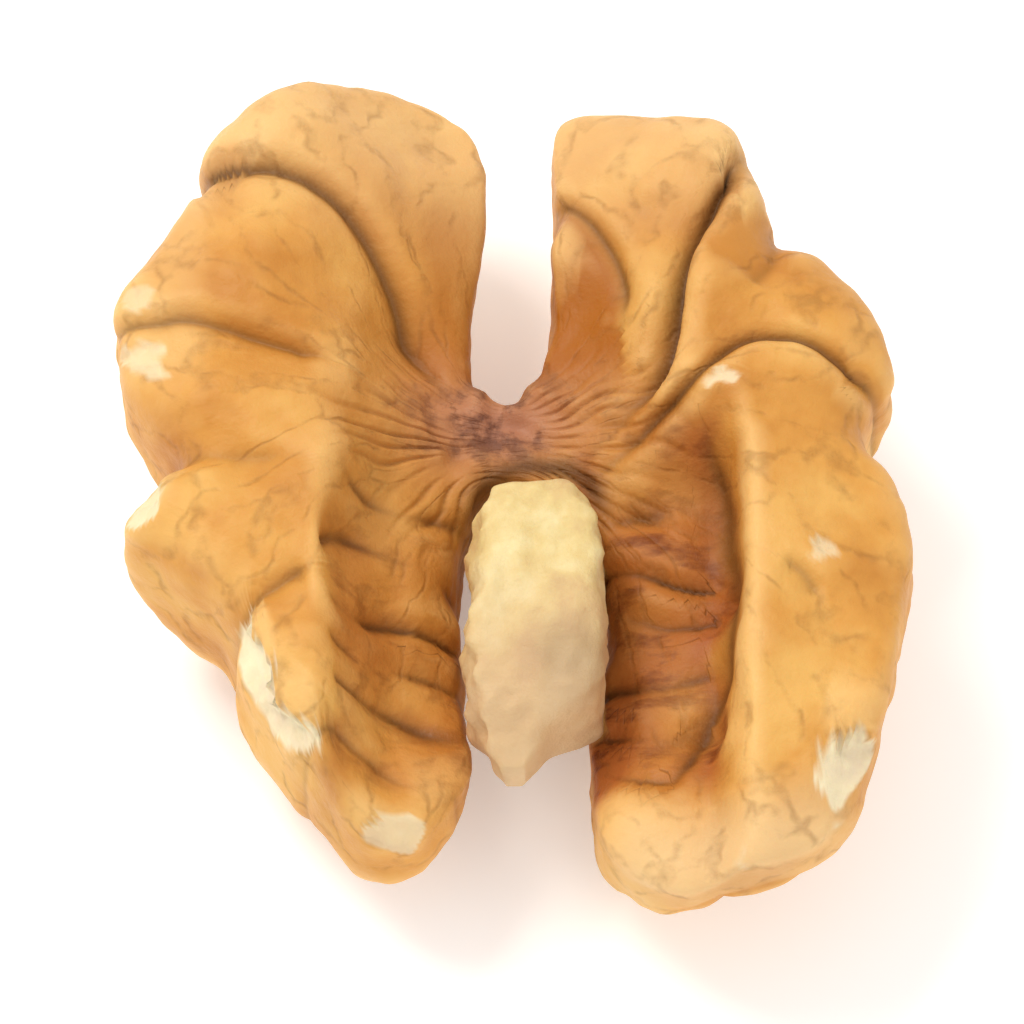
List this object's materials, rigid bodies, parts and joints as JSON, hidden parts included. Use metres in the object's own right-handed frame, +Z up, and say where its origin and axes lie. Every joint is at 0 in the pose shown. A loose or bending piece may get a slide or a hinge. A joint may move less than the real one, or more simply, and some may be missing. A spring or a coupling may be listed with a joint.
{
  "type": "walnut kernel half",
  "caption": "Shelled walnut half lying on its rounded back, split face up, with two wavy lobes joined by a short bridge and a pale broken stub between them",
  "frame": {"origin": "centre of the bounding box in plan, at the height of the surface that the half rests on", "axes": "+Z up out of the split face, +Y along the lobes towards the open upper slot, +X towards the wider lobe"},
  "size_m": [0.028, 0.0322, 0.0108],
  "materials": {
    "kernel_skin": "thin golden-brown skin with cream broken flesh"
  },
  "bodies": {
    "root": {"walnut_half": "kernel_skin"}
  },
  "joints": []
}
